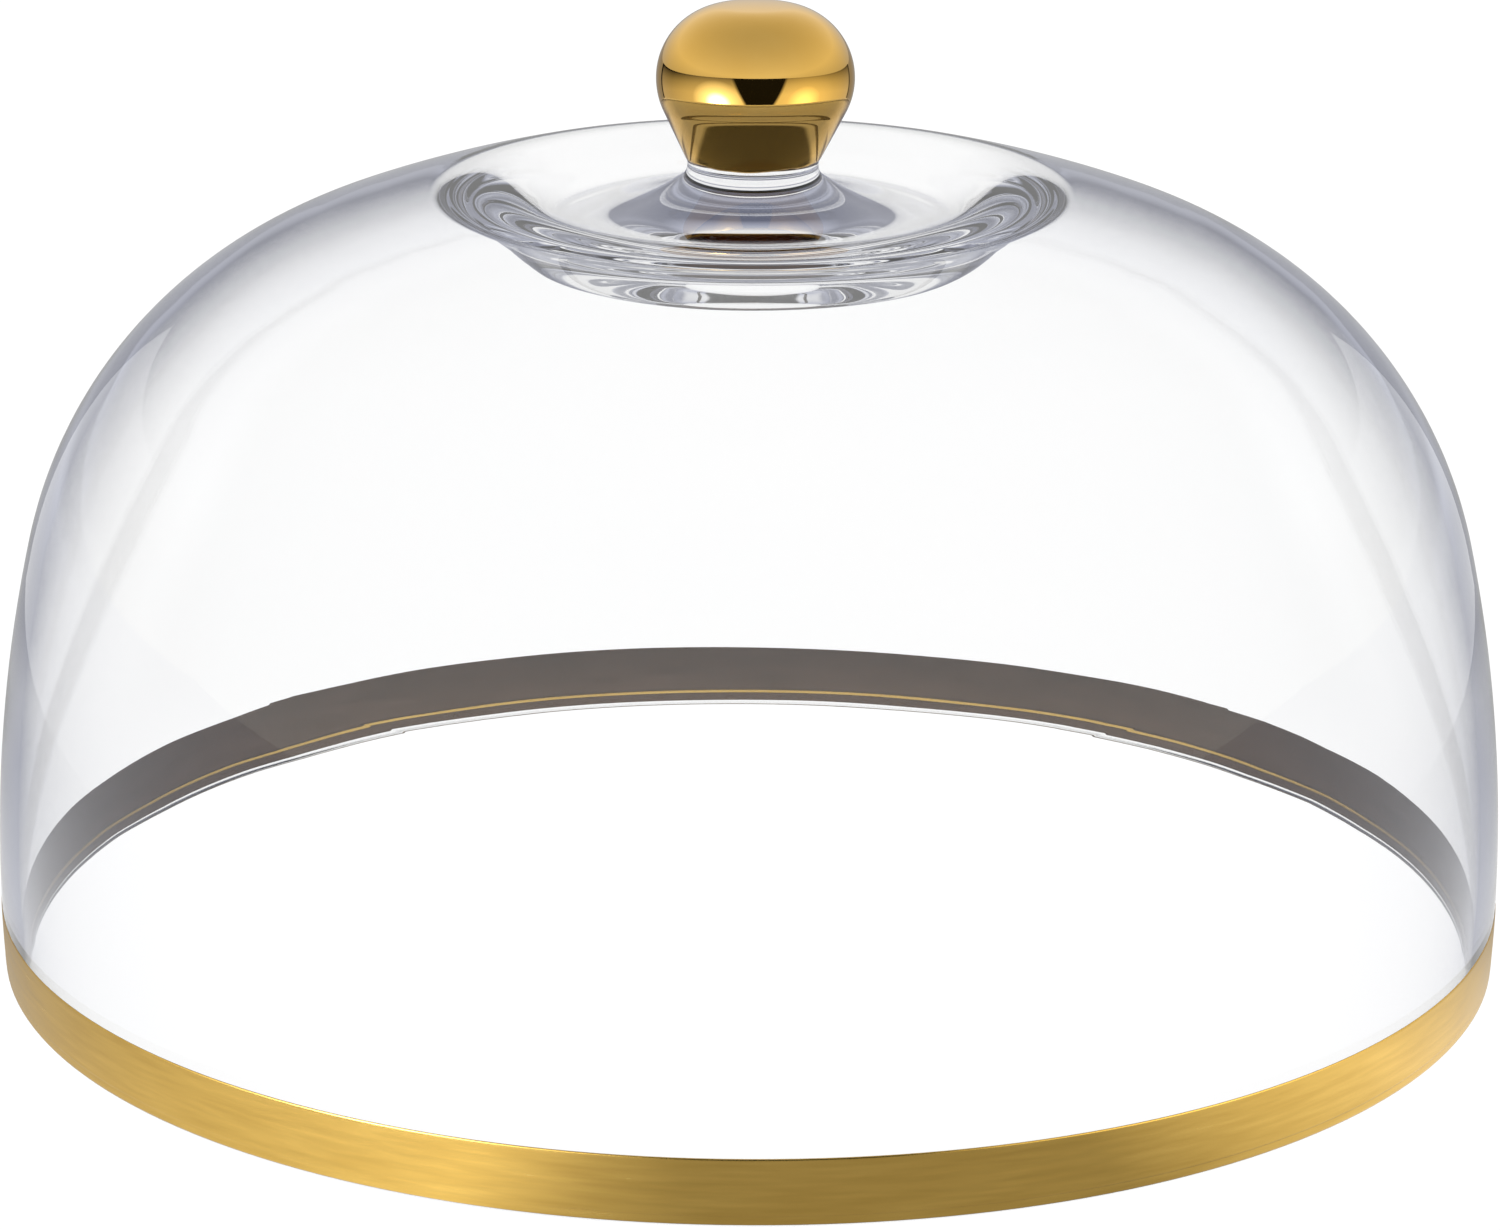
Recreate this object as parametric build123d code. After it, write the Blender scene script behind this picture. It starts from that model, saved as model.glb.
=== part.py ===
"""Glass cloche: a blown dome with a rolled rim, a fused ball knob, and gold on both.

Millimetres, +Z up. The origin is on the axis of the bell, at the level of the face that
the rim rests on. Every piece is a body of revolution, drawn as a section in the XZ plane,
where the sketch's x is the radius and its y is the height.
"""
from math import acos, asin, atan2, cos, degrees, hypot, radians, sin, sqrt
import os

from build123d import *

os.makedirs("parts", exist_ok=True)

# Bell, outer surface: three arcs that run into each other smoothly.
WIDEST_RADIUS = 140.0
WIDEST_HEIGHT = 18.0
WALL_ARC = 272.0
SHOULDER_ARC = 80.0
CROWN_ARC = 230.0
CROWN_APEX = 152.2          # where the crown arc would cross the axis
WALL = 3.4                  # glass thickness away from the crown

# Dished middle of the crown, pressed in when the hot knob was set down.
RIDGE_SLOPE = 15.0          # slope of the crown arc, in degrees, where the dish takes over
RIDGE_ARC = 30.0
DISH_SLOPE = 22.0           # steepest slope down into the dish, in degrees
DISH_ARC = 28.0

# Thick pad of glass under the knob, with a smooth flank and a slightly bellied underside.
PAD_RADIUS = 58.0
PAD_THICKNESS = 11.7        # on the axis, below the floor of the dish
FLANK_WIDTH = 20.0
FLANK_PULL_TOP = 7.5        # how far the flank keeps the slope of the crown
FLANK_PULL_FOOT = 6.0       # how far it keeps the slope of the belly
BELLY_ARC = 1700.0

# Rolled rim.
LIP_ROUND_OUTER = 1.3
LIP_ROUND_INNER = 1.0
GROOVE_HEIGHT = 2.7
GROOVE_ARC = 0.9
GROOVE_DEPTH = 0.2

# Knob: flattened ball, waisted neck and a foot that feathers out over the dish.
BALL_RADIUS = 17.9
BALL_HEIGHT = 164.9         # height of the ball's widest circle
BALL_TOP = 178.2
BALL_SIDE_ARC = 13.1
BALL_UNDER_ARC = 13.4
NECK_RADIUS = 11.9
NECK_ARC = 3.2
FOOT_ARC = 30.0

# Gilding, drawn thick enough to be a solid.
COAT = 0.15
BAND_TOP = 13.0
BAND_BOTTOM = 0.5
KNOB_GOLD_EDGE = 149.9


def polar(centre, radius, slope):
    """The point of a circle where the surface slopes down outwards by this angle."""
    return (
        centre[0] + radius * sin(radians(slope)),
        centre[1] + radius * cos(radians(slope)),
    )


def meet(first, first_distance, second, second_distance):
    """The point at these distances from two centres, on the outer side of the bell."""
    dx = second[0] - first[0]
    dz = second[1] - first[1]
    span = hypot(dx, dz)
    along = (first_distance**2 - second_distance**2 + span**2) / (2 * span)
    across = sqrt(first_distance**2 - along**2)
    return (
        first[0] + (along * dx + across * dz) / span,
        first[1] + (along * dz - across * dx) / span,
    )


def slope_between(inner_centre, outer_centre):
    """The slope at which two arcs with these centres touch."""
    dx = outer_centre[0] - inner_centre[0]
    dz = outer_centre[1] - inner_centre[1]
    return degrees(atan2(dx, dz))


def arc(centre, radius, start_slope, end_slope):
    """An arc from one surface slope to another; its radius is negative where it is hollow."""
    middle = (start_slope + end_slope) / 2
    return ThreePointArc(
        polar(centre, radius, start_slope),
        polar(centre, radius, middle),
        polar(centre, radius, end_slope),
    )


def revolved(section):
    return revolve(Plane.XZ * section, Axis.Z, 360)


crown_centre = (0, CROWN_APEX - CROWN_ARC)
wall_centre = (WIDEST_RADIUS - WALL_ARC, WIDEST_HEIGHT)
shoulder_centre = meet(
    crown_centre, CROWN_ARC - SHOULDER_ARC, wall_centre, WALL_ARC - SHOULDER_ARC
)
crown_end = slope_between(crown_centre, shoulder_centre)
shoulder_end = slope_between(wall_centre, shoulder_centre)

# The ridge arc leaves the crown arc at RIDGE_SLOPE, and rolls over into the dish.
ridge_start = polar(crown_centre, CROWN_ARC, RIDGE_SLOPE)
ridge_centre = polar(ridge_start, -RIDGE_ARC, RIDGE_SLOPE)
dish_start = polar(ridge_centre, RIDGE_ARC, -DISH_SLOPE)
dish_centre = polar(dish_start, DISH_ARC, -DISH_SLOPE)
dish_edge = (dish_centre[0], dish_centre[1] - DISH_ARC)
seat_height = dish_edge[1]


def dome_section():
    """Half section of the bell, from the middle of the dish round to the inside."""
    inner_crown = CROWN_ARC - WALL
    inner_shoulder = SHOULDER_ARC - WALL
    inner_wall = WALL_ARC - WALL
    wall_foot = 90 + degrees(asin(WIDEST_HEIGHT / WALL_ARC))
    outer_foot = polar(wall_centre, WALL_ARC, wall_foot)
    inner_foot_slope = 90 + degrees(asin(WIDEST_HEIGHT / inner_wall))
    inner_foot = polar(wall_centre, inner_wall, inner_foot_slope)
    pad_slope = degrees(asin(PAD_RADIUS / inner_crown))
    belly_low = seat_height - PAD_THICKNESS
    belly_centre = (0, belly_low + BELLY_ARC)
    belly_slope = -degrees(asin((PAD_RADIUS - FLANK_WIDTH) / BELLY_ARC))
    flank_top = polar(crown_centre, inner_crown, pad_slope)
    flank_foot = polar(belly_centre, -BELLY_ARC, belly_slope)

    with BuildSketch() as sketch:
        with BuildLine():
            Line((0, seat_height), dish_edge)
            arc(dish_centre, -DISH_ARC, 0, -DISH_SLOPE)
            arc(ridge_centre, RIDGE_ARC, -DISH_SLOPE, RIDGE_SLOPE)
            arc(crown_centre, CROWN_ARC, RIDGE_SLOPE, crown_end)
            arc(shoulder_centre, SHOULDER_ARC, crown_end, shoulder_end)
            arc(wall_centre, WALL_ARC, shoulder_end, wall_foot)
            Line(outer_foot, inner_foot)
            arc(wall_centre, inner_wall, inner_foot_slope, shoulder_end)
            arc(shoulder_centre, inner_shoulder, shoulder_end, crown_end)
            arc(crown_centre, inner_crown, crown_end, pad_slope)
            Bezier(
                flank_top,
                polar(flank_top, -FLANK_PULL_TOP, 90 + pad_slope),
                polar(flank_foot, FLANK_PULL_FOOT, 90 + belly_slope),
                flank_foot,
            )
            arc(belly_centre, -BELLY_ARC, belly_slope, 0)
            Line((0, belly_low), (0, seat_height))
        make_face()
        outer_corner = sketch.vertices().filter_by_position(Axis.Y, -0.1, 0.1).sort_by(Axis.X)[-1]
        fillet(outer_corner, LIP_ROUND_OUTER)
        inner_corner = sketch.vertices().filter_by_position(Axis.Y, -0.1, 0.1).sort_by(Axis.X)[0]
        fillet(inner_corner, LIP_ROUND_INNER)
        groove_radius = WIDEST_RADIUS + GROOVE_ARC - GROOVE_DEPTH
        with Locations((groove_radius - wall_lean(GROOVE_HEIGHT), GROOVE_HEIGHT)):
            Circle(GROOVE_ARC, mode=Mode.SUBTRACT)
    return sketch.sketch


def wall_lean(height):
    """How far the outside of the wall has come in from its widest radius at a height."""
    return WALL_ARC - sqrt(WALL_ARC**2 - (height - WIDEST_HEIGHT) ** 2)


def knob_section():
    """Half section of the solid glass knob, standing on the floor of the dish."""
    side = (BALL_RADIUS - BALL_SIDE_ARC, BALL_HEIGHT)
    drop = BALL_TOP - BALL_SIDE_ARC - BALL_HEIGHT
    top_centre = (0, BALL_HEIGHT - (side[0] ** 2 - drop**2) / (2 * drop))
    top_arc = BALL_TOP - top_centre[1]
    top_end = slope_between(top_centre, side)
    under = (BALL_RADIUS - BALL_UNDER_ARC, BALL_HEIGHT)

    # The foot's arc is flush with the dish, and the neck's arc runs on inside it.
    foot = (dish_edge[0], seat_height + FOOT_ARC)
    neck_x = NECK_RADIUS + NECK_ARC
    neck = (neck_x, foot[1] - sqrt((FOOT_ARC - NECK_ARC) ** 2 - (foot[0] - neck_x) ** 2))
    foot_start = slope_between(neck, foot)

    # A straight taper touches the ball's underside arc and the neck's arc.
    apart = (neck[0] - under[0], under[1] - neck[1])
    taper = degrees(atan2(apart[1], apart[0]) - acos((BALL_UNDER_ARC + NECK_ARC) / hypot(*apart)))
    taper_top = polar(under, BALL_UNDER_ARC, 90 + taper)
    taper_foot = polar(neck, -NECK_ARC, 90 + taper)

    with BuildSketch() as sketch:
        with BuildLine():
            Line((0, seat_height), (0, BALL_TOP))
            arc(top_centre, top_arc, 0, top_end)
            arc(side, BALL_SIDE_ARC, top_end, 90)
            arc(under, BALL_UNDER_ARC, 90, 90 + taper)
            Line(taper_top, taper_foot)
            arc(neck, -NECK_ARC, 90 + taper, foot_start)
            arc(foot, -FOOT_ARC, foot_start, 0)
            Line(dish_edge, (0, seat_height))
        make_face()
    return sketch.sketch


def gilding(glass_section, inner_radius, outer_radius, bottom, top):
    """The skin of gold on the outside of a glass piece, between two heights."""
    width = outer_radius - inner_radius
    window = Pos(inner_radius + width / 2, (bottom + top) / 2) * Rectangle(width, top - bottom)
    return revolved(offset(glass_section, COAT) & window) - revolved(glass_section)


dome = dome_section()
knob = knob_section()

nodes = {
    "dome_shell": revolved(dome),
    "knob_core": revolved(knob),
    "knob_gilding": gilding(knob, 0, BALL_RADIUS + 1, KNOB_GOLD_EDGE, BALL_TOP + 1),
    "rim_gilding": gilding(
        dome, WIDEST_RADIUS - WALL / 2, WIDEST_RADIUS + 1, BAND_BOTTOM, BAND_TOP
    ),
}

for name, solid in nodes.items():
    export_step(solid, f"parts/{name}.step")
    box = solid.bounding_box()
    print(name, round(solid.volume), "mm3", box.min, box.max)
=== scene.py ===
"""Looks of the glass cloche: a blown dome, a fused ball knob, and gold on the knob and rim.

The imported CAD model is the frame, in metres. Every piece here is turned from the same section
as the CAD pieces, with the small unevenness that hand-blown glass and brushed gold have. The
section is written in millimetres: a radius and a height.
"""
from math import acos, asin, atan2, ceil, cos, degrees, hypot, pi, radians, sin, sqrt

import bpy
import numpy as np
from mathutils import Matrix, Vector


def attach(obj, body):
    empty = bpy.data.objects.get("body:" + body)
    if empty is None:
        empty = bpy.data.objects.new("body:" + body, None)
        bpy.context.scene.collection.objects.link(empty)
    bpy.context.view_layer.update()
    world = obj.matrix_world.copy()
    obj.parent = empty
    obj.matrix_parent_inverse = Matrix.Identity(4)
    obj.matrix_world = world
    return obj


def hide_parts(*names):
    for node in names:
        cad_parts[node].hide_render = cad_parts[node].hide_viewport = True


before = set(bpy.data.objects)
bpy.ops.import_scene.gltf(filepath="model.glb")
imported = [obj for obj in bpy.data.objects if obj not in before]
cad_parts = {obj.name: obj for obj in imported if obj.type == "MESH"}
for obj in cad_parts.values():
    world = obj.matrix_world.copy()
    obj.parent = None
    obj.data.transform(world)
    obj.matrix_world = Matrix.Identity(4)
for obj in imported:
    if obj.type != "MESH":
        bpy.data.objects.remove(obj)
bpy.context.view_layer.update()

MM = 0.001

# Bell, outer surface: three arcs that run into each other smoothly.
WIDEST_RADIUS = 140.0
WIDEST_HEIGHT = 18.0
WALL_ARC = 272.0
SHOULDER_ARC = 80.0
CROWN_ARC = 230.0
CROWN_APEX = 152.2
WALL = 3.4

# Dished middle of the crown.
RIDGE_SLOPE = 15.0
RIDGE_ARC = 30.0
DISH_SLOPE = 22.0
DISH_ARC = 28.0

# Thick pad of glass under the knob.
PAD_RADIUS = 58.0
FLANK_WIDTH = 20.0
PAD_THICKNESS = 11.7
BELLY_ARC = 1700.0
FLANK_PULL_TOP = 7.5
FLANK_PULL_FOOT = 6.0

# Rolled rim.
LIP_ROUND_OUTER = 1.3
LIP_ROUND_INNER = 1.0
GROOVE_HEIGHT = 2.7
GROOVE_ARC = 0.9
GROOVE_DEPTH = 0.2

# Knob.
BALL_RADIUS = 17.9
BALL_HEIGHT = 164.9
BALL_TOP = 178.2
BALL_SIDE_ARC = 13.1
BALL_UNDER_ARC = 13.4
NECK_RADIUS = 11.9
NECK_ARC = 3.2
FOOT_ARC = 30.0
KNOB_OFFSET = 0.5

# Hand-blown unevenness. It starts at this radius and height, and fades in over a distance.
WAVE_INSIDE = 0.02
WAVE_OUTSIDE = 0.01
WAVE_FROM_RADIUS = 20.0
WAVE_FROM_HEIGHT = 16.0
WAVE_FADES_IN = 20.0

# Gold: it stands a little proud of the glass and keys a little way into it.
GOLD_PROUD = 0.1
GOLD_KEY = 0.05
KNOB_EDGE_WANDERS = 0.25
BAND_EDGE_WANDERS = 0.08
BAND_CLEARS_LIP = 0.1
BAND_TOP = 12.9
BAND_BOTTOM = 0.6
KNOB_GOLD_EDGE = 150.1

SEGMENTS = 208
WHITE = (1.0, 1.0, 1.0, 1.0)


# ---------------------------------------------------------------- section of the glass


def polar(centre, radius, slope):
    """The point of a circle where the surface slopes down outwards by this angle."""
    return (
        centre[0] + radius * sin(radians(slope)),
        centre[1] + radius * cos(radians(slope)),
    )


def meet(first, first_distance, second, second_distance):
    """The point at these distances from two centres, on the outer side of the bell."""
    dx = second[0] - first[0]
    dz = second[1] - first[1]
    span = hypot(dx, dz)
    along = (first_distance**2 - second_distance**2 + span**2) / (2 * span)
    across = sqrt(first_distance**2 - along**2)
    return (
        first[0] + (along * dx + across * dz) / span,
        first[1] + (along * dz - across * dx) / span,
    )


def slope_between(inner_centre, outer_centre):
    """The slope at which two arcs with these centres touch."""
    return degrees(atan2(outer_centre[0] - inner_centre[0], outer_centre[1] - inner_centre[1]))


def arc(centre, radius, start, end, step):
    """Points along an arc from one slope to another, about a step apart."""
    count = max(2, ceil(abs(radius * radians(end - start)) / step)) + 1
    return [polar(centre, radius, slope) for slope in np.linspace(start, end, count)]


def line(start, end, step):
    count = max(1, ceil(hypot(end[0] - start[0], end[1] - start[1]) / step)) + 1
    return [tuple(p) for p in np.linspace(start, end, count)]


def bezier(start, start_handle, end_handle, end, count):
    """Points along a cubic curve."""
    corners = np.array((start, start_handle, end_handle, end))
    points = []
    for t in np.linspace(0, 1, count):
        weights = np.array(((1 - t) ** 3, 3 * t * (1 - t) ** 2, 3 * t**2 * (1 - t), t**3))
        points.append(tuple(weights @ corners))
    return points


def chain(*runs):
    """Joins runs of points, without the points that two runs share."""
    joined = []
    for run in runs:
        for point in run:
            if not joined or hypot(point[0] - joined[-1][0], point[1] - joined[-1][1]) > 1e-4:
                joined.append(point)
    return joined


crown_centre = (0, CROWN_APEX - CROWN_ARC)
wall_centre = (WIDEST_RADIUS - WALL_ARC, WIDEST_HEIGHT)
shoulder_centre = meet(
    crown_centre, CROWN_ARC - SHOULDER_ARC, wall_centre, WALL_ARC - SHOULDER_ARC
)
crown_end = slope_between(crown_centre, shoulder_centre)
shoulder_end = slope_between(wall_centre, shoulder_centre)
ridge_start = polar(crown_centre, CROWN_ARC, RIDGE_SLOPE)
ridge_centre = polar(ridge_start, -RIDGE_ARC, RIDGE_SLOPE)
dish_start = polar(ridge_centre, RIDGE_ARC, -DISH_SLOPE)
dish_centre = polar(dish_start, DISH_ARC, -DISH_SLOPE)
dish_edge = (dish_centre[0], dish_centre[1] - DISH_ARC)
seat_height = dish_edge[1]


def knob_outline(step):
    """The knob's outside, from the top of the ball down to the edge of its foot."""
    side = (BALL_RADIUS - BALL_SIDE_ARC, BALL_HEIGHT)
    drop = BALL_TOP - BALL_SIDE_ARC - BALL_HEIGHT
    top_centre = (0, BALL_HEIGHT - (side[0] ** 2 - drop**2) / (2 * drop))
    top_end = slope_between(top_centre, side)
    under = (BALL_RADIUS - BALL_UNDER_ARC, BALL_HEIGHT)
    foot = (dish_edge[0], seat_height + FOOT_ARC)
    neck_x = NECK_RADIUS + NECK_ARC
    neck = (neck_x, foot[1] - sqrt((FOOT_ARC - NECK_ARC) ** 2 - (foot[0] - neck_x) ** 2))
    foot_start = slope_between(neck, foot)
    apart = (neck[0] - under[0], under[1] - neck[1])
    taper = degrees(atan2(apart[1], apart[0]) - acos((BALL_UNDER_ARC + NECK_ARC) / hypot(*apart)))
    return chain(
        arc(top_centre, BALL_TOP - top_centre[1], 0, top_end, step),
        arc(side, BALL_SIDE_ARC, top_end, 90, step),
        arc(under, BALL_UNDER_ARC, 90, 90 + taper, step),
        line(polar(under, BALL_UNDER_ARC, 90 + taper), polar(neck, -NECK_ARC, 90 + taper), step),
        arc(neck, -NECK_ARC, 90 + taper, foot_start, step),
        arc(foot, -FOOT_ARC, foot_start, 0, step),
    )


def wall_lean(height):
    """How far the outside of the wall has come in from its widest radius at a height."""
    return WALL_ARC - sqrt(WALL_ARC**2 - (height - WIDEST_HEIGHT) ** 2)


def rim_outline(step):
    """The outside of the wall near the rim, from the widest circle down to the resting face."""
    lip_top = LIP_ROUND_OUTER
    groove_half = sqrt(GROOVE_ARC**2 - (GROOVE_ARC - GROOVE_DEPTH) ** 2)
    groove_x = WIDEST_RADIUS - wall_lean(GROOVE_HEIGHT) + GROOVE_ARC - GROOVE_DEPTH
    dip = degrees(asin(groove_half / GROOVE_ARC))
    to_groove = 90 + degrees(asin((WIDEST_HEIGHT - GROOVE_HEIGHT - groove_half) / WALL_ARC))
    lip_slope = 90 + degrees(asin((WIDEST_HEIGHT - lip_top) / WALL_ARC))
    past_groove = 90 + degrees(asin((WIDEST_HEIGHT - GROOVE_HEIGHT + groove_half) / WALL_ARC))
    lip_x = WIDEST_RADIUS - wall_lean(lip_top) - LIP_ROUND_OUTER
    return chain(
        arc(wall_centre, WALL_ARC, 90, to_groove, step),
        arc((groove_x, GROOVE_HEIGHT), -GROOVE_ARC, 90 - dip, 90 + dip, GROOVE_DEPTH),
        arc(wall_centre, WALL_ARC, past_groove, lip_slope, step),
        arc((lip_x, lip_top), LIP_ROUND_OUTER, lip_slope, 180, GROOVE_DEPTH),
    )


def outside_outline():
    """The outside of the dome from the edge of the knob's foot down to the resting face."""
    return chain(
        arc(dish_centre, -DISH_ARC, 0, -DISH_SLOPE, 0.6),
        arc(ridge_centre, RIDGE_ARC, -DISH_SLOPE, RIDGE_SLOPE, 0.6),
        arc(crown_centre, CROWN_ARC, RIDGE_SLOPE, crown_end, 1.5),
        arc(shoulder_centre, SHOULDER_ARC, crown_end, shoulder_end, 2.0),
        arc(wall_centre, WALL_ARC, shoulder_end, 90, 4.0),
        rim_outline(1.5),
    )


def inside_outline():
    """The inside of the dome from the resting face up to the axis."""
    inner_wall = WALL_ARC - WALL
    inner_crown = CROWN_ARC - WALL
    round_top = LIP_ROUND_INNER
    start_slope = 90 + degrees(asin((WIDEST_HEIGHT - round_top) / inner_wall))
    foot = polar(wall_centre, inner_wall, start_slope)
    pad_slope = degrees(asin(PAD_RADIUS / inner_crown))
    belly_centre = (0, seat_height - PAD_THICKNESS + BELLY_ARC)
    belly_slope = -degrees(asin((PAD_RADIUS - FLANK_WIDTH) / BELLY_ARC))
    flank_top = polar(crown_centre, inner_crown, pad_slope)
    flank_foot = polar(belly_centre, -BELLY_ARC, belly_slope)
    return chain(
        arc((foot[0] + round_top, round_top), LIP_ROUND_INNER, 180, 270, 0.3),
        arc(wall_centre, inner_wall, start_slope, shoulder_end, 4.0),
        arc(shoulder_centre, SHOULDER_ARC - WALL, shoulder_end, crown_end, 2.0),
        arc(crown_centre, inner_crown, crown_end, pad_slope, 1.5),
        bezier(
            flank_top,
            polar(flank_top, -FLANK_PULL_TOP, 90 + pad_slope),
            polar(flank_foot, FLANK_PULL_FOOT, 90 + belly_slope),
            flank_foot,
            70,
        ),
        arc(belly_centre, -BELLY_ARC, belly_slope, 0, 1.0),
    )


# ---------------------------------------------------------------- turned meshes


def ripple(angle, along, seed):
    """A smooth unevenness between -1 and 1 that closes round the axis."""
    total = np.zeros(np.broadcast(angle, along).shape)
    for order, pace, weight in ((2, 0.021, 0.4), (3, 0.034, 0.3), (5, 0.052, 0.2), (7, 0.083, 0.1)):
        total = total + weight * np.sin(order * angle + pace * along * 2 * pi + seed * order * 1.7)
    return total


def lengths_along(points):
    steps = np.hypot(*np.diff(np.array(points), axis=0).T)
    return np.concatenate(([0.0], np.cumsum(steps)))


def normals_along(points):
    """Unit normals that point to the left of the way the points run, seen with z up."""
    points = np.array(points)
    tangent = np.gradient(points, axis=0)
    tangent /= np.hypot(tangent[:, 0], tangent[:, 1])[:, None]
    return np.column_stack((-tangent[:, 1], tangent[:, 0]))


def lean(height):
    """How far the knob was set off the axis by hand."""
    share = min(max((height - seat_height) / (BALL_HEIGHT - seat_height), 0.0), 1.0)
    return KNOB_OFFSET * share**2 * (3 - 2 * share)


def turn(name, radii, heights, face_material=None):
    """A closed solid of revolution. Rows run along the section and columns round the axis; a
    section that starts and ends on the axis is capped there, and any other is joined up."""
    rows, columns = radii.shape
    angles = np.arange(columns) * 2 * pi / columns
    capped = bool(radii[0].max() < 1e-6)
    verts = []
    ring_start = []
    for row in range(rows):
        ring_start.append(len(verts))
        if capped and row in (0, rows - 1):
            z = float(heights[row].mean())
            verts.append((lean(z) * MM, 0.0, z * MM))
            continue
        for column in range(columns):
            r, z = float(radii[row, column]), float(heights[row, column])
            x = r * cos(angles[column]) + lean(z)
            verts.append((x * MM, r * sin(angles[column]) * MM, z * MM))
    faces = []
    face_rows = []
    last = rows - 1 if capped else rows
    for row in range(last):
        here, there = ring_start[row], ring_start[(row + 1) % rows]
        for column in range(columns):
            after = (column + 1) % columns
            if capped and row == 0:
                faces.append((here, there + column, there + after))
            elif capped and row == rows - 2:
                faces.append((there, here + after, here + column))
            else:
                faces.append((here + column, there + column, there + after, here + after))
            face_rows.append(row)
    mesh = bpy.data.meshes.new(name)
    mesh.from_pydata(verts, [], faces)
    mesh.update()
    mesh.polygons.foreach_set("use_smooth", [True] * len(faces))
    if face_material is not None:
        mesh.polygons.foreach_set("material_index", [face_material(row) for row in face_rows])
    obj = bpy.data.objects.new(name, mesh)
    bpy.context.scene.collection.objects.link(obj)
    return obj


angle_row = (np.arange(SEGMENTS) * 2 * pi / SEGMENTS)[None, :]


def build_glass():
    """The dome and the knob as one fused body of glass."""
    outer = chain(knob_outline(0.5), outside_outline())
    inner = inside_outline()
    points = np.array(chain(outer, inner))
    inner_rows = np.arange(len(points)) >= len(points) - len(inner) + 1
    normal = normals_along(points)
    along = lengths_along(points)[:, None]
    radius = points[:, 0][:, None]
    height = points[:, 1][:, None]
    off_axis = np.clip((radius - WAVE_FROM_RADIUS) / WAVE_FADES_IN, 0, 1)
    off_rim = np.clip((height - WAVE_FROM_HEIGHT) / WAVE_FADES_IN, 0, 1)
    depth = np.where(inner_rows, WAVE_INSIDE, WAVE_OUTSIDE)[:, None]
    wave = ripple(angle_row, along, 1.0) * depth * off_axis * off_rim
    lift = np.where(inner_rows[:, None], wave, -np.abs(wave))
    radii = radius + lift * normal[:, 0][:, None]
    heights = height + lift * normal[:, 1][:, None]
    radii[0] = 0
    radii[-1] = 0
    return turn("glass_body", radii, heights)


def coat(outline, start, end, rows):
    """Radii, heights and normals of rows that follow an outline between two distances along
    it, and each row's share of the way. The distances may differ from column to column."""
    along = lengths_along(outline)
    points = np.array(outline)
    normal = normals_along(points)
    share = np.linspace(0, 1, rows)[:, None]
    where = start + (end - start) * share
    r = np.interp(where, along, points[:, 0])
    z = np.interp(where, along, points[:, 1])
    nr = np.interp(where, along, normal[:, 0])
    nz = np.interp(where, along, normal[:, 1])
    return r, z, nr, nz, share


def at_height(outline, height):
    """How far along a falling outline each height is reached."""
    points = np.array(outline)
    along = lengths_along(outline)
    return np.interp(-height, -points[:, 1], along)


def build_knob_gold():
    """The gold over the ball, with a hand-cut edge on the neck."""
    outline = [p for p in knob_outline(0.25) if p[1] > KNOB_GOLD_EDGE - 4]
    edge = KNOB_GOLD_EDGE + KNOB_EDGE_WANDERS * ripple(angle_row, 40 * angle_row / pi, 2.0)
    end = at_height(outline, edge)
    start = np.zeros_like(end)
    r, z, nr, nz, share = coat(outline, start, end, 110)
    proud = GOLD_PROUD * np.clip((1 - share) / 0.006, 0.25, 1)
    outer_r, outer_z = r + proud * nr, z + proud * nz
    inner_r, inner_z = r - GOLD_KEY * nr, z - GOLD_KEY * nz
    radii = np.vstack((outer_r, inner_r[::-1]))
    heights = np.vstack((outer_z, inner_z[::-1]))
    radii[0] = 0
    radii[-1] = 0
    rows = outer_r.shape[0]
    return turn("knob_gold", radii, heights, lambda row: 0 if row < rows else 1)


def build_rim_gold():
    """The band of gold round the rim, with slightly uneven edges."""
    outline = rim_outline(0.6)
    top = BAND_TOP - BAND_EDGE_WANDERS + BAND_EDGE_WANDERS * ripple(angle_row, 0.0, 3.0)
    bottom = BAND_BOTTOM + BAND_CLEARS_LIP + BAND_EDGE_WANDERS * ripple(angle_row, 0.0, 4.0)
    start = at_height(outline, top)
    end = at_height(outline, bottom)
    r, z, nr, nz, share = coat(outline, start, end, 48)
    proud = GOLD_PROUD * np.clip(np.minimum(share, 1 - share) / 0.02, 0.25, 1)
    outer_r, outer_z = r + proud * nr, z + proud * nz
    inner_r, inner_z = r - GOLD_KEY * nr, z - GOLD_KEY * nz
    radii = np.vstack((outer_r, inner_r[::-1]))
    heights = np.vstack((outer_z, inner_z[::-1]))
    rows = outer_r.shape[0]
    return turn("rim_gold", radii, heights, lambda row: 0 if row < rows else 1)


# ---------------------------------------------------------------- materials


def new_material(name):
    material = bpy.data.materials.new(name)
    material.use_nodes = True
    tree = material.node_tree
    shader = tree.nodes["Principled BSDF"]
    return material, tree, shader


def place_on_surface(tree):
    """The object's own coordinates, in metres."""
    return tree.nodes.new("ShaderNodeTexCoord").outputs["Object"]


def noise(tree, vector, scale, detail):
    node = tree.nodes.new("ShaderNodeTexNoise")
    node.inputs["Scale"].default_value = scale
    node.inputs["Detail"].default_value = detail
    tree.links.new(vector, node.inputs["Vector"])
    return node.outputs["Fac"]


def stretched(tree, vector, scale):
    node = tree.nodes.new("ShaderNodeMapping")
    node.inputs["Scale"].default_value = scale
    tree.links.new(vector, node.inputs["Vector"])
    return node.outputs["Vector"]


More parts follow.
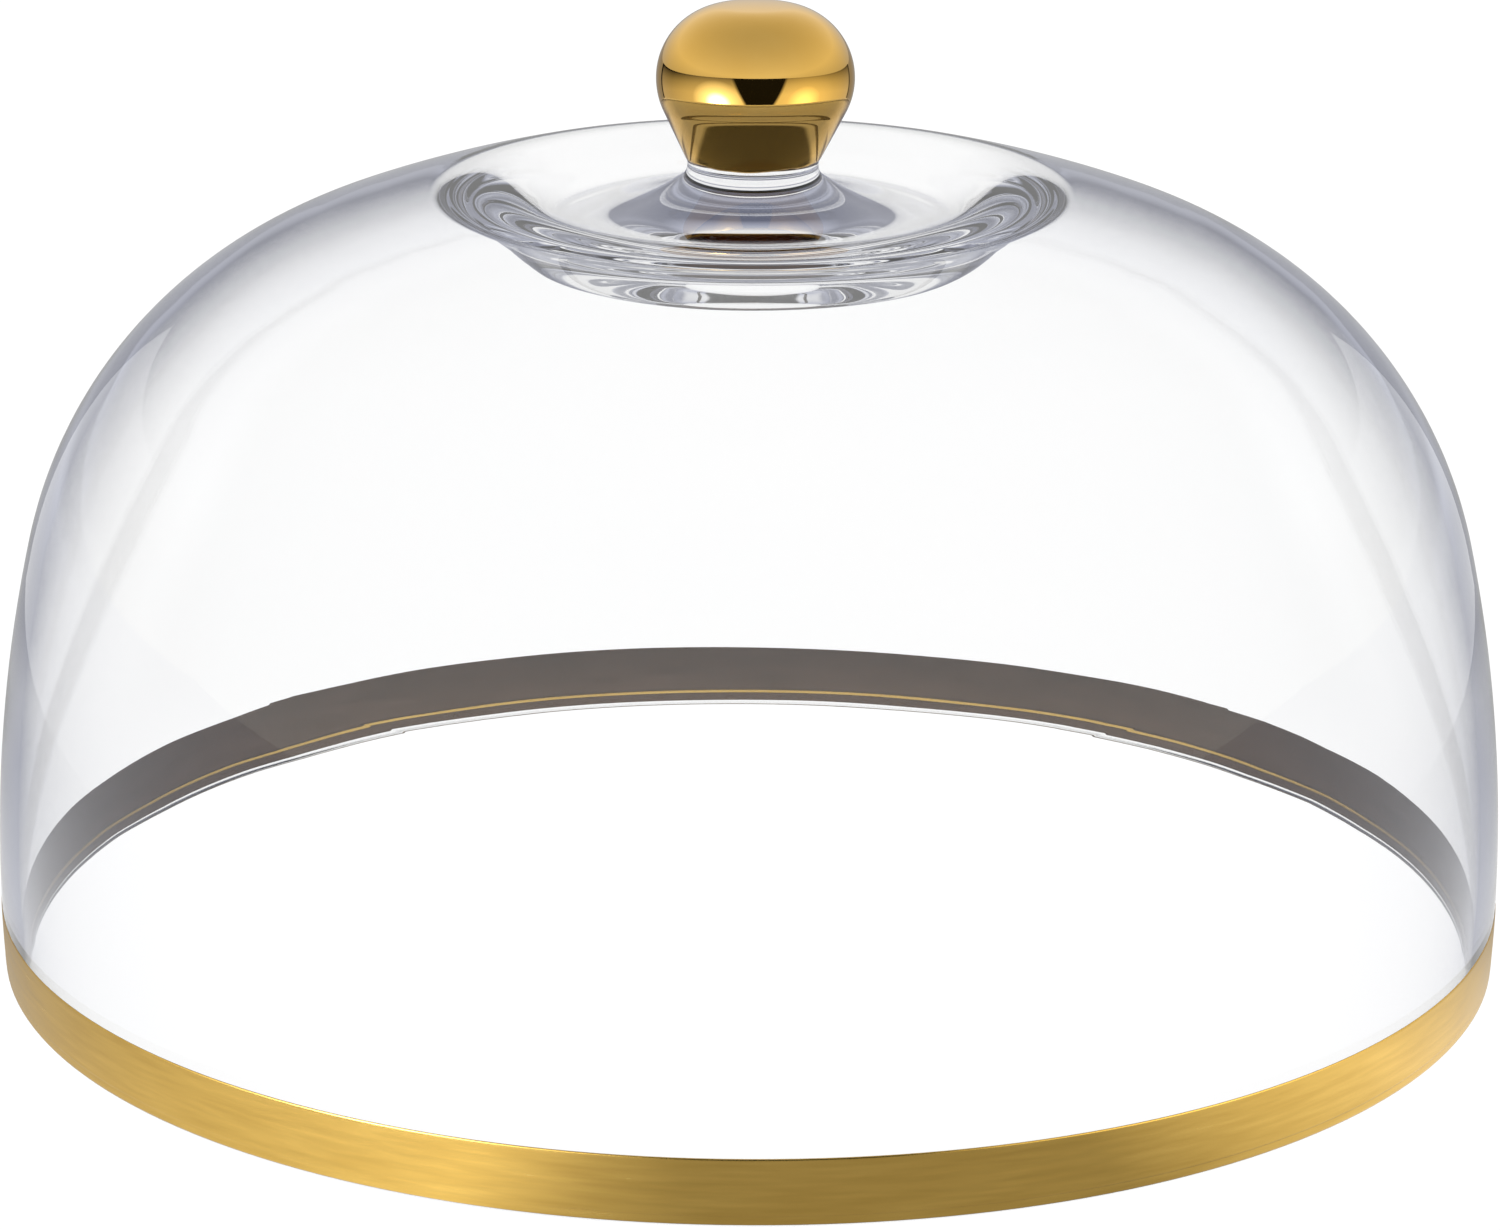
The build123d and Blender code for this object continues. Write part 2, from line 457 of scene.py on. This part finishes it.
def ramp(tree, value, *stops):
    node = tree.nodes.new("ShaderNodeValToRGB")
    node.color_ramp.elements[0].position = stops[0][0]
    node.color_ramp.elements[0].color = stops[0][1]
    node.color_ramp.elements[1].position = stops[-1][0]
    node.color_ramp.elements[1].color = stops[-1][1]
    for position, colour in stops[1:-1]:
        node.color_ramp.elements.new(position).color = colour
    tree.links.new(value, node.inputs["Fac"])
    return node.outputs["Color"]


def spread_between(tree, value, low, high):
    node = tree.nodes.new("ShaderNodeMapRange")
    node.inputs["To Min"].default_value = low
    node.inputs["To Max"].default_value = high
    tree.links.new(value, node.inputs["Value"])
    return node.outputs["Result"]


def math(tree, operation, first, second):
    node = tree.nodes.new("ShaderNodeMath")
    node.operation = operation
    for socket, value in zip(node.inputs, (first, second)):
        if isinstance(value, float):
            socket.default_value = value
        else:
            tree.links.new(value, socket)
    return node.outputs["Value"]


def colour_mix(tree, blend, factor, first, second):
    node = tree.nodes.new("ShaderNodeMix")
    node.data_type = "RGBA"
    node.blend_type = blend
    if isinstance(factor, float):
        node.inputs["Factor"].default_value = factor
    else:
        tree.links.new(factor, node.inputs["Factor"])
    sockets = [socket for socket in node.inputs if socket.type == "RGBA"]
    for socket, value in zip(sockets, (first, second)):
        if isinstance(value, tuple):
            socket.default_value = value
        else:
            tree.links.new(value, socket)
    return [socket for socket in node.outputs if socket.type == "RGBA"][0]


def mixed(tree, factor, first, second):
    return colour_mix(tree, "MIX", factor, first, second)


def added(tree, first, second):
    return colour_mix(tree, "ADD", 1.0, first, second)


def scaled(tree, value, colour):
    return colour_mix(tree, "MULTIPLY", 1.0, value, (*colour, 1.0))


def clear_glass():
    """Clear glass whose tint drifts very slightly."""
    material, tree, shader = new_material("clear_glass")
    shader.inputs["Transmission Weight"].default_value = 1.0
    shader.inputs["IOR"].default_value = 1.5
    shader.inputs["Roughness"].default_value = 0.0
    tint = noise(tree, place_on_surface(tree), 12.0, 2.0)
    colour = ramp(tree, tint, (0.3, (0.994, 0.997, 0.998, 1)), (0.7, WHITE))
    tree.links.new(colour, shader.inputs["Base Color"])
    return material


def gold(name, dark, light, smooth, rough, streak):
    """Fired gold with fine streaks round the axis; streak is how strongly they run sideways."""
    material, tree, shader = new_material(name)
    shader.inputs["Metallic"].default_value = 1.0
    place = place_on_surface(tree)
    cloud = noise(tree, stretched(tree, place, (1, 1, streak)), 60.0, 4.0)
    colour = ramp(tree, cloud, (0.3, dark), (0.7, light))
    tree.links.new(colour, shader.inputs["Base Color"])
    tree.links.new(spread_between(tree, cloud, smooth, rough), shader.inputs["Roughness"])
    return material


def seen_by(tree, plain, in_gold, in_glass, through_glass):
    """One colour where it is looked at directly, one as gold reflects it, one as the sharp
    surface of the glass does, and one for light that has been reflected inside the glass."""
    path = tree.nodes.new("ShaderNodeLightPath")
    reflected = math(tree, "GREATER_THAN", path.outputs["Glossy Depth"], 0.5)
    mirrored = mixed(tree, path.outputs["Is Singular Ray"], in_gold, in_glass)
    indirect = mixed(tree, path.outputs["Is Transmission Ray"], mirrored, through_glass)
    return mixed(tree, reflected, plain, indirect)


def emit(tree, shader, colour):
    emission = tree.nodes.new("ShaderNodeEmission")
    tree.links.new(colour, emission.inputs["Color"])
    tree.links.new(emission.outputs["Emission"], tree.nodes["Material Output"].inputs["Surface"])
    tree.nodes.remove(shader)


def around(tree, place):
    """The azimuth of a place in radians: 0 in front of the object, and rising to the right."""
    parts = tree.nodes.new("ShaderNodeSeparateXYZ")
    tree.links.new(place, parts.inputs["Vector"])
    front = math(tree, "MULTIPLY", parts.outputs["Y"], -1.0)
    return math(tree, "ARCTAN2", parts.outputs["X"], front)


def grey(value):
    return (value, value, value, 1.0)


def how_far_round(tree, azimuth):
    """0 in front of the object, 0.5 at its sides and 1 behind it."""
    return math(tree, "DIVIDE", math(tree, "ABSOLUTE", azimuth, 0.0), pi)


def dimmer_behind(tree, azimuth):
    """The painted reflection that the glass mirrors: pale grey to the sides, dimmer behind."""
    return ramp(
        tree,
        how_far_round(tree, azimuth),
        (0.50, grey(MIRRORED_WHITE)),
        (0.70, grey(SIDE_LIGHT)),
        (1.0, grey(SIDE_LIGHT)),
    )


def only_behind(tree, azimuth, elsewhere, painted_slate_reflection):
    """The painted slate reflection in a sector straight behind the object, and another colour
    elsewhere.
    """
    share = ramp(tree, how_far_round(tree, azimuth), (0.64, grey(0.0)), (0.80, WHITE))
    return mixed(tree, share, elsewhere, painted_slate_reflection)


def reflected_twice(tree):
    """1 for light that has been reflected two or more times on its way."""
    depth = tree.nodes.new("ShaderNodeLightPath").outputs["Glossy Depth"]
    return math(tree, "GREATER_THAN", depth, 1.5)


def gap_edge(tree, azimuth, half_width):
    """0 in the dark gap between the two front panels and 1 on the panels."""
    off_centre = math(tree, "ABSOLUTE", math(tree, "SUBTRACT", azimuth, GAP_CENTRE), 0.0)
    beyond = math(tree, "SUBTRACT", off_centre, half_width)
    return spread_between(tree, math(tree, "DIVIDE", beyond, GAP_SOFTNESS), 0.0, 1.0)


def pale_floor():
    """A table that is plain white where it is seen directly. The gold sees painted shade under the
    dome and in the gap between the panels, and painted light elsewhere; light from inside the glass
    finds a painted slate reflection."""
    material, tree, shader = new_material("pale_floor")
    place = place_on_surface(tree)
    distance = tree.nodes.new("ShaderNodeVectorMath")
    distance.operation = "LENGTH"
    tree.links.new(place, distance.inputs[0])
    reach = distance.outputs["Value"]
    # Painted reflection for the gold: painted shade under the dome, then painted light on the table
    # that changes with distance.
    table = ramp(
        tree,
        reach,
        (SHADE_ENDS, grey(NEARLY_BLACK)),
        (TABLE_STARTS, (0.95, 0.93, 0.90, 1)),
        (0.24, (0.90, 0.88, 0.86, 1)),
        (0.27, (0.60, 0.59, 0.57, 1)),
        (0.50, (0.75, 0.74, 0.73, 1)),
    )
    azimuth = around(tree, place)
    # Painted light that changes round the axis, from TABLE_LIGHT.
    turned = math(tree, "DIVIDE", math(tree, "ADD", azimuth, pi), 2 * pi)
    by_side = ramp(
        tree,
        turned,
        *[((degrees_round + 180) / 360, grey(level)) for degrees_round, level in TABLE_LIGHT],
    )
    table = colour_mix(tree, "MULTIPLY", 1.0, table, by_side)
    # Painted shade in the gap between the panels, except near the dome.
    on_panel = gap_edge(tree, azimuth, GAP_HALF_LOW)
    near = ramp(tree, reach, (0.20, WHITE), (0.26, grey(0.0)))
    lit = math(tree, "MAXIMUM", on_panel, near)
    shown = mixed(tree, lit, grey(0.03), table)
    parts = tree.nodes.new("ShaderNodeSeparateXYZ")
    tree.links.new(place, parts.inputs["Vector"])
    # Painted slate reflection for light from inside the glass: pale grey towards the front, slate
    # further behind.
    behind = ramp(
        tree,
        parts.outputs["Y"],
        (0.0, grey(0.95)),
        (0.16, grey(0.80)),
        (0.22, PAINTED_SLATE_REFLECTION),
        (0.60, PAINTED_PALE_SLATE_REFLECTION),
        (0.90, PAINTED_SLATE_REFLECTION),
    )
    in_glass = dimmer_behind(tree, azimuth)
    # Painted shade under the dome, for light from inside the glass.
    painted_dome_shade = ramp(tree, reach, (SHADE_ENDS, grey(NEARLY_BLACK)), (TABLE_STARTS, WHITE))
    through = only_behind(tree, azimuth, PAINTED_PALE_SLATE_REFLECTION, behind)
    through = colour_mix(tree, "MULTIPLY", 1.0, through, painted_dome_shade)
    # Painted slate reflection for light reflected two or more times, darkest near the axis.
    deep = ramp(tree, reach, (0.06, PAINTED_DEEP_SLATE_REFLECTION), (0.13, PAINTED_SLATE_REFLECTION), (0.30, PAINTED_SLATE_REFLECTION), (0.55, PAINTED_PALE_SLATE_REFLECTION))
    through = mixed(tree, reflected_twice(tree), through, deep)
    emit(tree, shader, seen_by(tree, grey(FLOOR_WHITE), shown, in_glass, through))
    return material


def tent_wall():
    """Two front panels with a gap between them, each brightest round its lamp."""
    material, tree, shader = new_material("tent_wall")
    place = place_on_surface(tree)
    azimuth = around(tree, place)
    parts = tree.nodes.new("ShaderNodeSeparateXYZ")
    tree.links.new(tree.nodes.new("ShaderNodeTexCoord").outputs["UV"], parts.inputs["Vector"])
    share = parts.outputs["Y"]
    panel = ramp(
        tree,
        share,
        (0.0, (0.66, 0.64, 0.61, 1)),
        (0.45, (0.60, 0.58, 0.54, 1)),
        (0.75, (0.34, 0.33, 0.30, 1)),
        (0.955, (0.10, 0.095, 0.09, 1)),
        (0.975, grey(0.01)),
    )
    inwards = math(tree, "ABSOLUTE", math(tree, "SUBTRACT", parts.outputs["X"], 0.5), 0.0)
    trim = ramp(tree, inwards, (0.484, WHITE), (0.490, grey(0.02)))
    panel = colour_mix(tree, "MULTIPLY", 1.0, panel, trim)
    half_width = spread_between(tree, share, GAP_HALF_LOW, GAP_HALF_HIGH)
    shown = panel
    for lamp_azimuth, lamp_height, core, halo, size in LAMPS:
        a = radians(lamp_azimuth)
        away = tree.nodes.new("ShaderNodeVectorMath")
        away.operation = "DISTANCE"
        tree.links.new(place, away.inputs[0])
        away.inputs[1].default_value = (TENT_RADIUS * sin(a), -TENT_RADIUS * cos(a), lamp_height)
        reach = math(tree, "DIVIDE", away.outputs["Value"], size)
        bright = ramp(tree, reach, (0.0, WHITE), (0.25, grey(0.6)), (0.5, grey(0.08)), (1.0, grey(0.0)))
        wide = ramp(tree, math(tree, "DIVIDE", reach, 2.0), (0.0, WHITE), (1.0, grey(0.0)))
        shown = added(tree, shown, scaled(tree, bright, core))
        shown = added(tree, shown, scaled(tree, wide, halo))
    shown = mixed(tree, gap_edge(tree, azimuth, half_width), grey(NEARLY_BLACK), shown)
    sharp = tree.nodes.new("ShaderNodeLightPath").outputs["Is Singular Ray"]
    emit(tree, shader, mixed(tree, sharp, shown, grey(MIRRORED_WHITE)))
    return material


# ---------------------------------------------------------------- studio


# The floor, the world and the tent look plain and pale where they are seen directly. Through
# the Light Path node they look different in the gold, in the glass and inside the glass: painted
# reflections of a studio with panels and of a slate backdrop. Greys are linear.
FLOOR_WHITE = 1.06
FLOOR_HALF = 6.0
FLOOR_DROP = 0.0002
MIRRORED_WHITE = 0.96

# Painted light: how bright the gold mirrors the table, by azimuth in degrees from the front.
TABLE_LIGHT = (
    (-180, 0.50),
    (-100, 0.38),
    (-80, 0.55),
    (-35, 0.95),
    (-22, 1.25),
    (-12, 0.60),
    (-5, 0.40),
    (28, 0.40),
    (45, 0.95),
    (60, 1.25),
    (80, 0.80),
    (95, 0.40),
    (180, 0.50),
)
SIDE_LIGHT = 0.5
NEARLY_BLACK = 0.012

# Distances from the axis at which the shade under the dome ends.
SHADE_ENDS = 0.108
TABLE_STARTS = 0.120

# Slate greys of the painted reflection that light reflected inside the glass finds.
PAINTED_SLATE_REFLECTION = (0.145, 0.155, 0.215, 1.0)
PAINTED_DEEP_SLATE_REFLECTION = (0.07, 0.075, 0.10, 1.0)
PAINTED_PALE_SLATE_REFLECTION = (0.38, 0.40, 0.50, 1.0)

# Curved wall of two panels, in metres and degrees, and the gap between them.
TENT_RADIUS = 0.35
TENT_TOP = 0.279
TENT_LOW_TOP = 0.165
TENT_HALF_ANGLE = 138
GAP_CENTRE = radians(5)
GAP_HALF_LOW = radians(13)
GAP_HALF_HIGH = radians(30)
GAP_SOFTNESS = radians(4)

# Each lamp behind a panel: azimuth, height, colour of its core, colour of its halo, size.
LAMPS = (
    (-44, 0.035, (14.0, 15.0, 18.0), (0.55, 0.54, 0.52), 0.20),
    (58, 0.045, (1.5, 1.4, 1.15), (0.70, 0.65, 0.50), 0.26),
)


def build_floor():
    mesh = bpy.data.meshes.new("floor")
    corners = [(x * FLOOR_HALF, y * FLOOR_HALF, 0) for x, y in ((-1, -1), (1, -1), (1, 1), (-1, 1))]
    mesh.from_pydata(corners, [], [(0, 1, 2, 3)])
    floor = bpy.data.objects.new("floor", mesh)
    bpy.context.scene.collection.objects.link(floor)
    floor.location.z = -FLOOR_DROP
    floor.data.materials.append(pale_floor())


def build_tent():
    """A curved wall of panels in front, lower at its ends, that only reflections show."""
    count = 96
    verts = []
    for k in range(count + 1):
        turned = radians(TENT_HALF_ANGLE) * (2 * k / count - 1)
        x, y = TENT_RADIUS * sin(turned), -TENT_RADIUS * cos(turned)
        fall = (1 - cos(turned)) / (1 - cos(radians(TENT_HALF_ANGLE)))
        top = TENT_TOP + (TENT_LOW_TOP - TENT_TOP) * fall
        verts += [(x, y, 0.0), (x, y, top)]
    faces = [(2 * k, 2 * k + 1, 2 * k + 3, 2 * k + 2) for k in range(count)]
    mesh = bpy.data.meshes.new("tent")
    mesh.from_pydata(verts, [], faces)
    layer = mesh.uv_layers.new(name="up_the_wall")
    for k in range(count):
        corners = ((k, 0), (k, 1), (k + 1, 1), (k + 1, 0))
        for offset, (across, up) in enumerate(corners):
            layer.data[4 * k + offset].uv = (across / count, up)
    tent = bpy.data.objects.new("tent", mesh)
    bpy.context.scene.collection.objects.link(tent)
    tent.data.materials.append(tent_wall())
    tent.visible_camera = False
    tent.visible_transmission = False
    tent.visible_shadow = False


def studio_world():
    """Plain white where it is looked at. The gold sees a painted reflection of a bright overhead
    diffuser, the glass a painted pale grey, and light reflected inside the glass a painted slate
    reflection."""
    world = bpy.data.worlds.new("studio")
    world.use_nodes = True
    bpy.context.scene.world = world
    tree = world.node_tree
    direction = tree.nodes.new("ShaderNodeTexCoord").outputs["Generated"]
    parts = tree.nodes.new("ShaderNodeSeparateXYZ")
    tree.links.new(direction, parts.inputs["Vector"])
    # Painted reflection of an overhead diffuser, which only the gold sees.
    overhead = ramp(
        tree,
        parts.outputs["Z"],
        (0.0, (0.62, 0.62, 0.62, 1)),
        (0.35, (0.98, 0.97, 0.95, 1)),
        (0.60, (0.84, 0.83, 0.81, 1)),
        (1.0, (0.62, 0.62, 0.62, 1)),
    )
    # Painted slate reflection, by height, for light from inside the glass.
    painted_slate_reflection = ramp(
        tree,
        parts.outputs["Z"],
        (0.0, PAINTED_PALE_SLATE_REFLECTION),
        (0.06, PAINTED_SLATE_REFLECTION),
        (0.28, PAINTED_SLATE_REFLECTION),
        (0.40, PAINTED_PALE_SLATE_REFLECTION),
        (0.60, grey(0.9)),
    )
    azimuth = around(tree, direction)
    # Painted reflection for the glass: pale grey higher up, the greys of dimmer_behind lower down.
    upwards = ramp(tree, parts.outputs["Z"], (0.15, grey(0.0)), (0.35, WHITE))
    in_glass = mixed(tree, upwards, dimmer_behind(tree, azimuth), grey(0.97))
    through = only_behind(tree, azimuth, in_glass, painted_slate_reflection)
    through = mixed(tree, reflected_twice(tree), through, painted_slate_reflection)
    shown = seen_by(tree, WHITE, overhead, in_glass, through)
    tree.links.new(shown, tree.nodes["Background"].inputs["Color"])


def softbox(name, azimuth, elevation, distance, width, height, watts, target):
    """A rectangular light that faces a point on the axis; azimuth 0 is in front of the object."""
    data = bpy.data.lights.new(name, "AREA")
    data.shape = "RECTANGLE"
    data.size = width
    data.size_y = height
    data.energy = watts
    light = bpy.data.objects.new(name, data)
    bpy.context.scene.collection.objects.link(light)
    a, e = radians(azimuth), radians(elevation)
    towards = Vector((sin(a) * cos(e), -cos(a) * cos(e), sin(e)))
    light.location = Vector((0, 0, target)) + distance * towards
    light.rotation_euler = towards.to_track_quat("Z", "Y").to_euler()
    light.visible_camera = False
    light.visible_transmission = False
    light.visible_glossy = False


def build_studio():
    studio_world()
    build_floor()
    build_tent()
    softbox("overhead", 0, 80, 1.1, 1.4, 1.2, 8.0, BALL_HEIGHT * MM)


CAMERA_DISTANCE = 1.0
CAMERA_HEIGHT = 0.3779
CAMERA_DOWN = 17.48
CAMERA_ROLL = 0.29
CAMERA_LENS = 135.1


def build_camera():
    data = bpy.data.cameras.new("camera")
    data.lens = CAMERA_LENS
    data.sensor_width = 36.0
    data.clip_start = 0.01
    camera = bpy.data.objects.new("camera", data)
    bpy.context.scene.collection.objects.link(camera)
    tilt = Matrix.Rotation(radians(90 - CAMERA_DOWN), 4, "X")
    roll = Matrix.Rotation(radians(CAMERA_ROLL), 4, "Z")
    camera.matrix_world = (
        Matrix.Translation((0, -CAMERA_DISTANCE, CAMERA_HEIGHT)) @ tilt @ roll
    )
    bpy.context.scene.camera = camera


def set_view():
    scene = bpy.context.scene
    scene.view_settings.view_transform = "Standard"
    scene.cycles.max_bounces = 24
    scene.cycles.transmission_bounces = 24
    scene.cycles.glossy_bounces = 16


# ---------------------------------------------------------------- the object

glass = build_glass()
glass.data.materials.append(clear_glass())

knob_gold = build_knob_gold()
knob_gold.data.materials.append(
    gold("knob_gold_bright", (0.75, 0.45, 0.10, 1), (0.80, 0.50, 0.13, 1), 0.02, 0.05, 1.0)
)
knob_gold.data.materials.append(
    gold("knob_gold_inside", (0.50, 0.30, 0.10, 1), (0.60, 0.38, 0.13, 1), 0.10, 0.20, 1.0)
)

rim_gold = build_rim_gold()
rim_gold.data.materials.append(
    gold("rim_gold_satin", (0.70, 0.45, 0.105, 1), (0.80, 0.53, 0.135, 1), 0.20, 0.30, 14.0)
)
rim_gold.data.materials.append(
    gold("rim_gold_inside", (0.12, 0.075, 0.045, 1), (0.16, 0.10, 0.065, 1), 0.30, 0.45, 6.0)
)

for piece, nodes, slot in (
    (glass, ("dome_shell", "knob_core"), "clear_glass"),
    (knob_gold, ("knob_gilding",), "gold_leaf"),
    (rim_gold, ("rim_gilding",), "gold_band"),
):
    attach(piece, "root")
    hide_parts(*nodes)

build_studio()
build_camera()
set_view()
